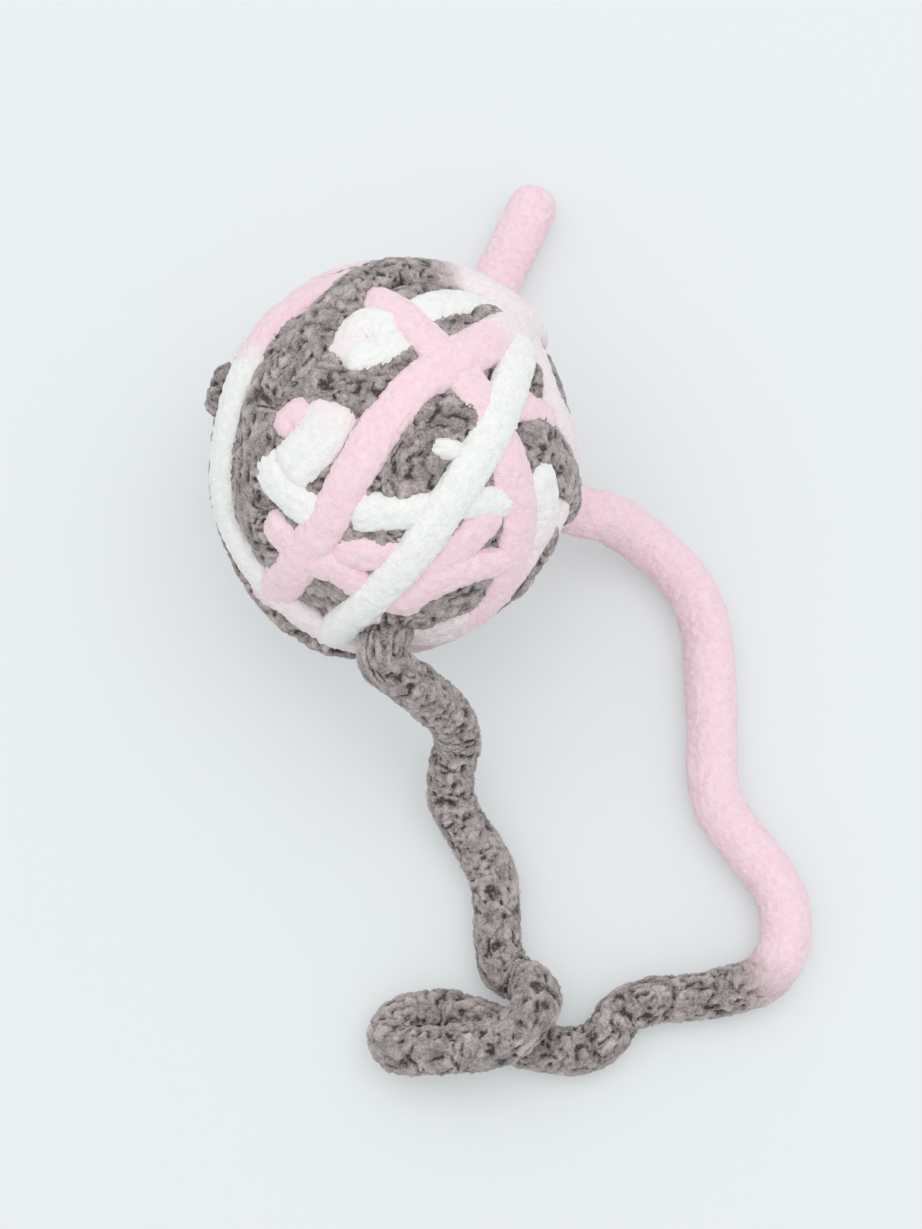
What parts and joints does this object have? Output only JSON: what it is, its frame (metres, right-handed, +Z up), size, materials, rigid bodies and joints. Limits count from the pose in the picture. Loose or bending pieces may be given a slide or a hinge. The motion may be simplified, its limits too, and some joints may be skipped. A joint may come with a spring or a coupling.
{
  "type": "yarn ball cat toy",
  "caption": "Small ball wound from thick soft yarn over a hollow core with a jingle bell inside; a long loop of the yarn hangs out to be batted and a short end sticks out.",
  "frame": {"origin": "under the middle of the ball, on the surface that it rests on", "axes": "+Z up; the loose loop of yarn lies on the floor towards -Y and +X, and the short loose end towards +Y"},
  "size_m": [0.0774, 0.1234, 0.0498],
  "materials": {
    "yarn_pink": "soft chenille pile, pale pink",
    "yarn_brown": "curly chenille pile, taupe brown",
    "yarn_white": "soft chenille pile, white",
    "core_plastic": "moulded, off-white",
    "bell_brass": "stamped, bright",
    "pellet_steel": "tumbled"
  },
  "bodies": {
    "root": {"core_shell_lower": "core_plastic", "core_shell_upper": "core_plastic", "yarn_bed": "yarn_brown", "winding_inner": "yarn_brown", "winding_middle": "yarn_white", "winding_outer": "yarn_pink", "tail_pink": "yarn_pink", "tail_brown_low": "yarn_brown", "tail_tangle": "yarn_brown", "tail_brown_rise": "yarn_brown", "loose_end": "yarn_pink"},
    "bell": {"bell_shell": "bell_brass", "bell_eye": "bell_brass"},
    "pellet": {"bell_pellet": "pellet_steel"}
  },
  "joints": [
    {"name": "bell_rattle", "type": "slide", "parent": "root", "child": "bell", "axis": [0, 0, 1], "range_m": [0, 0.00445]},
    {"name": "pellet_rattle", "type": "slide", "parent": "bell", "child": "pellet", "axis": [0, 0, 1], "range_m": [0, 0.008]}
  ]
}
